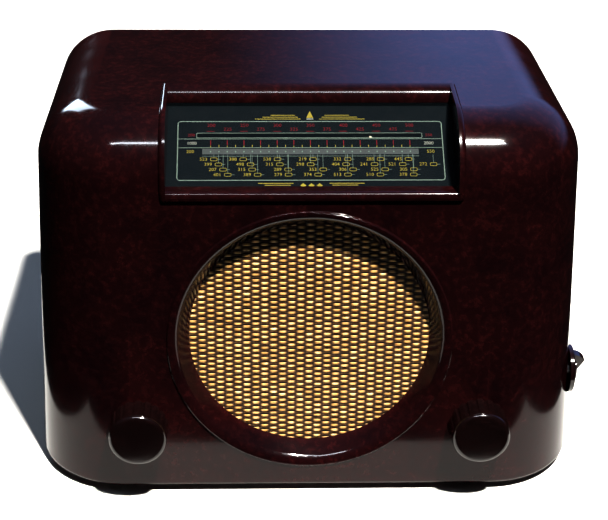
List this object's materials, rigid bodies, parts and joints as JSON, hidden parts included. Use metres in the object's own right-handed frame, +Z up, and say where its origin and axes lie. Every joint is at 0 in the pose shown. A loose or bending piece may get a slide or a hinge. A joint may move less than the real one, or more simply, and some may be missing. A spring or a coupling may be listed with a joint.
{
  "type": "table radio",
  "caption": "Moulded table radio with a slanted dial under a raised hood, a round cloth-covered speaker opening, two front knobs and a lever knob on the right side.",
  "frame": {"origin": "bottom centre of the whole object, knobs included, on the plane it stands on", "axes": "+X to the object's right as seen from the front, +Y towards the back, +Z up; the dial and speaker face -Y"},
  "size_m": [0.3183, 0.2106, 0.2224],
  "materials": {
    "cabinet_moulding": "polished",
    "knob_moulding": "polished",
    "rubber": "matt",
    "fibreboard": "matt",
    "steel_plate": "plated",
    "steel_bright": "satin",
    "copper_wire": "lacquered",
    "brown_insulation": "matt",
    "dial_glass": "clear",
    "dial_print": "printed",
    "brass": "satin",
    "lamp_glass": "clear",
    "pointer_paint": "satin",
    "cord": "waxed",
    "pulley_plastic": "satin",
    "aluminium": "satin",
    "control_metal": "satin",
    "valve_glass": "clear",
    "electrode_grey": "matt",
    "transformer_iron": "varnished",
    "ceramic": "matt",
    "speaker_paper": "matt",
    "speaker_cloth": "woven"
  },
  "bodies": {
    "set": {"aerial_coils": "copper_wire", "back_cover": "fibreboard", "back_cover_screws": "steel_bright", "baffle_board": "fibreboard", "baffle_screws": "steel_bright", "cabinet": "cabinet_moulding", "chassis": "steel_plate", "chassis_bolts": "steel_bright", "detector_valve": "valve_glass", "dial_backplate": "dial_print", "dial_frame": "steel_plate", "dial_glass": "dial_glass", "dial_lamps": "lamp_glass", "drive_cord": "cord", "feet": "rubber", "frame_aerial": "copper_wire", "gang_frame": "aluminium", "gang_stators": "aluminium", "glass_clips": "brass", "if_cans": "aluminium", "if_valve": "valve_glass", "lamp_holders": "brass", "mains_dropper": "ceramic", "mains_grommet": "rubber", "mixer_valve": "valve_glass", "output_transformer": "transformer_iron", "output_valve": "valve_glass", "pointer_rail": "steel_bright", "rectifier_valve": "valve_glass", "smoothing_can": "aluminium", "socket_strip": "brown_insulation", "speaker_cloth": "speaker_cloth", "speaker_frame": "control_metal", "speaker_magnet": "control_metal", "spindle_bearing": "brass", "spindle_cord": "cord", "tuning_bracket": "steel_plate", "valve_electrodes": "electrode_grey", "valve_sockets": "brown_insulation", "volume_bracket": "steel_plate", "volume_control": "control_metal", "wave_bracket": "steel_plate", "wave_switch": "brown_insulation"},
    "tuning_control": {"tuning_knob": "knob_moulding", "tuning_knob_screw": "steel_bright", "tuning_spindle": "steel_bright"},
    "volume_turner": {"volume_knob": "knob_moulding", "volume_knob_screw": "steel_bright", "volume_shaft": "steel_bright"},
    "wave_turner": {"wave_knob": "knob_moulding", "wave_shaft": "steel_bright"},
    "gang": {"drive_drum": "aluminium", "gang_rotor": "aluminium", "cord_spring": "steel_bright"},
    "left_wheel": {"pulley_left": "pulley_plastic"},
    "right_wheel": {"pulley_right": "pulley_plastic"},
    "lower_wheel": {"pulley_lower": "pulley_plastic"},
    "pointer_carriage": {"pointer": "pointer_paint"},
    "cone": {"speaker_cone": "speaker_paper"}
  },
  "joints": [
    {"name": "tuning_gang_turn", "type": "hinge", "parent": "set", "child": "gang", "pos_m": [0.0688, -0.02975, 0.09], "axis": [0, 1, 0], "range_deg": [-141, 39]},
    {"name": "tuning_knob_turn", "type": "hinge", "parent": "set", "child": "tuning_control", "pos_m": [0.0923, -0.02975, 0.046], "axis": [0, 1, 0], "range_deg": [-1342, 372]},
    {"name": "pointer_slide", "type": "slide", "parent": "set", "child": "pointer_carriage", "axis": [1, 0, 0], "range_m": [-0.0931, 0.0258]},
    {"name": "left_pulley_turn", "type": "hinge", "parent": "set", "child": "left_wheel", "pos_m": [-0.0812, -0.03015, 0.1882], "axis": [0, 1, 0], "range_deg": [-785, 218]},
    {"name": "right_pulley_turn", "type": "hinge", "parent": "set", "child": "right_wheel", "pos_m": [0.0998, -0.03015, 0.1882], "axis": [0, 1, 0], "range_deg": [-785, 218]},
    {"name": "lower_pulley_turn", "type": "hinge", "parent": "set", "child": "lower_wheel", "pos_m": [0.0242, -0.03015, 0.1746], "axis": [0, 1, 0], "range_deg": [-218, 785]},
    {"name": "volume_knob_turn", "type": "hinge", "parent": "set", "child": "volume_turner", "pos_m": [-0.0987, -0.02975, 0.046], "axis": [0, 1, 0], "range_deg": [-150, 130]},
    {"name": "wave_change_turn", "type": "hinge", "parent": "set", "child": "wave_turner", "pos_m": [0.1368, -0.04375, 0.054], "axis": [1, 0, 0], "range_deg": [-30, 30]},
    {"name": "cone_travel", "type": "slide", "parent": "set", "child": "cone", "axis": [0, -0.9979, 0.0645], "range_m": [-0.001, 0.001], "stiffness_N_per_m": 1500}
  ],
  "couplings": [
    {"joint": "tuning_knob_turn", "follows": "tuning_gang_turn", "ratio": 9.5094},
    {"joint": "pointer_slide", "follows": "tuning_gang_turn", "m_per_rad": 0.0378},
    {"joint": "left_pulley_turn", "follows": "tuning_gang_turn", "ratio": 5.5588},
    {"joint": "right_pulley_turn", "follows": "tuning_gang_turn", "ratio": 5.5588},
    {"joint": "lower_pulley_turn", "follows": "tuning_gang_turn", "ratio": -5.5588}
  ]
}
